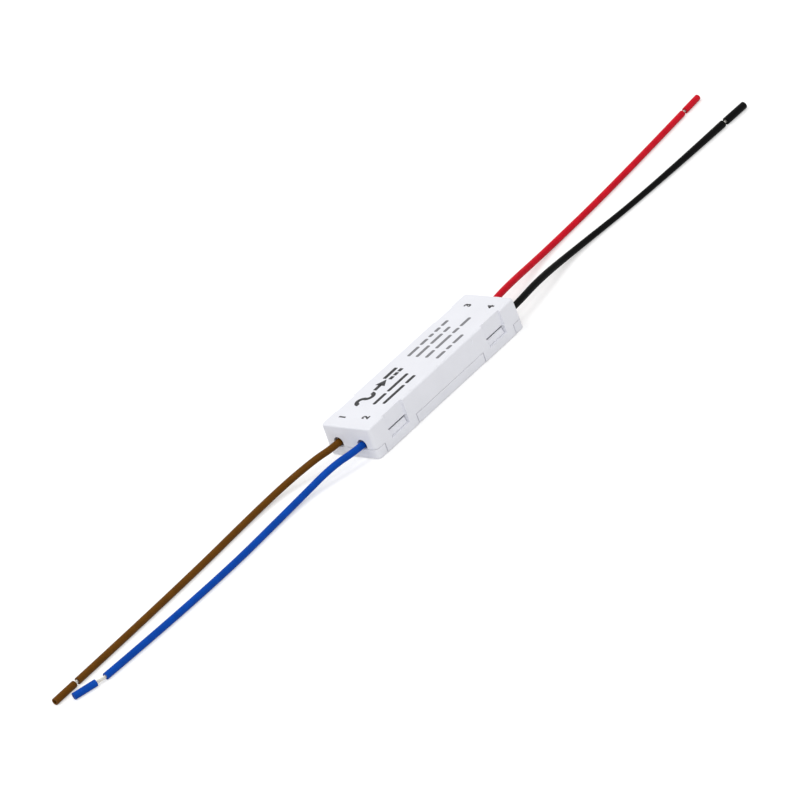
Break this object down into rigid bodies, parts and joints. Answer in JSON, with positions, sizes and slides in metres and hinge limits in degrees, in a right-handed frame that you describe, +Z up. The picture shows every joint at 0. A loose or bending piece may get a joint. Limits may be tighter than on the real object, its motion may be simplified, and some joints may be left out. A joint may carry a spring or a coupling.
{
  "type": "in-wall decoupler module",
  "caption": "Slim white snap-together housing of an in-wall signal decoupler, with insulated leads at both ends whose stripped tips carry pull-off insulation slugs.",
  "frame": {"origin": "middle of the housing's underside, on the surface that the module and its leads lie on", "axes": "+X along the housing towards the output leads, +Z up out of the printed top face"},
  "size_m": [0.2741, 0.0239, 0.0088],
  "materials": {
    "housing_white": "fine satin moulded white plastic",
    "brown_insulation": "smooth extruded PVC",
    "blue_insulation": "smooth extruded PVC",
    "red_insulation": "smooth extruded PVC",
    "black_insulation": "smooth extruded PVC",
    "tinned_copper": "tinned stranded copper",
    "board_laminate": "solder-masked glass epoxy",
    "solder": "bright solder",
    "resistor_lacquer": "lacquered ceramic",
    "chip_ceramic": "fired ceramic",
    "black_epoxy": "moulded epoxy",
    "printed_ink": "thin matt printing ink"
  },
  "bodies": {
    "module": {"cover": "housing_white", "base": "housing_white", "circuit_board": "board_laminate", "lead_solder_joints": "solder", "fusible_resistor": "resistor_lacquer", "dropper_resistors": "chip_ceramic", "bridge_rectifier": "black_epoxy", "smoothing_capacitor": "chip_ceramic", "zener_diode": "black_epoxy", "optocoupler": "black_epoxy", "output_diode": "black_epoxy", "output_transistor": "black_epoxy", "output_resistors": "chip_ceramic", "brown_lead": "brown_insulation", "brown_conductor": "tinned_copper", "blue_lead": "blue_insulation", "blue_conductor": "tinned_copper", "red_lead": "red_insulation", "red_conductor": "tinned_copper", "black_lead": "black_insulation", "black_conductor": "tinned_copper"},
    "brown_slug": {"brown_slug": "brown_insulation"},
    "blue_slug": {"blue_slug": "blue_insulation"},
    "red_slug": {"red_slug": "red_insulation"},
    "black_slug": {"black_slug": "black_insulation"}
  },
  "joints": [
    {"name": "brown_slug_slide", "type": "slide", "parent": "module", "child": "brown_slug", "axis": [-1, -0.0052, 0], "range_m": [-0.00105, 0.0077]},
    {"name": "blue_slug_slide", "type": "slide", "parent": "module", "child": "blue_slug", "axis": [-0.9479, 0.3186, 0], "range_m": [-0.00185, 0.00515]},
    {"name": "red_slug_slide", "type": "slide", "parent": "module", "child": "red_slug", "axis": [0.9955, 0.0946, 0], "range_m": [-0.0013, 0.00715]},
    {"name": "black_slug_slide", "type": "slide", "parent": "module", "child": "black_slug", "axis": [0.9998, -0.0212, 0], "range_m": [-0.00125, 0.0084]}
  ]
}
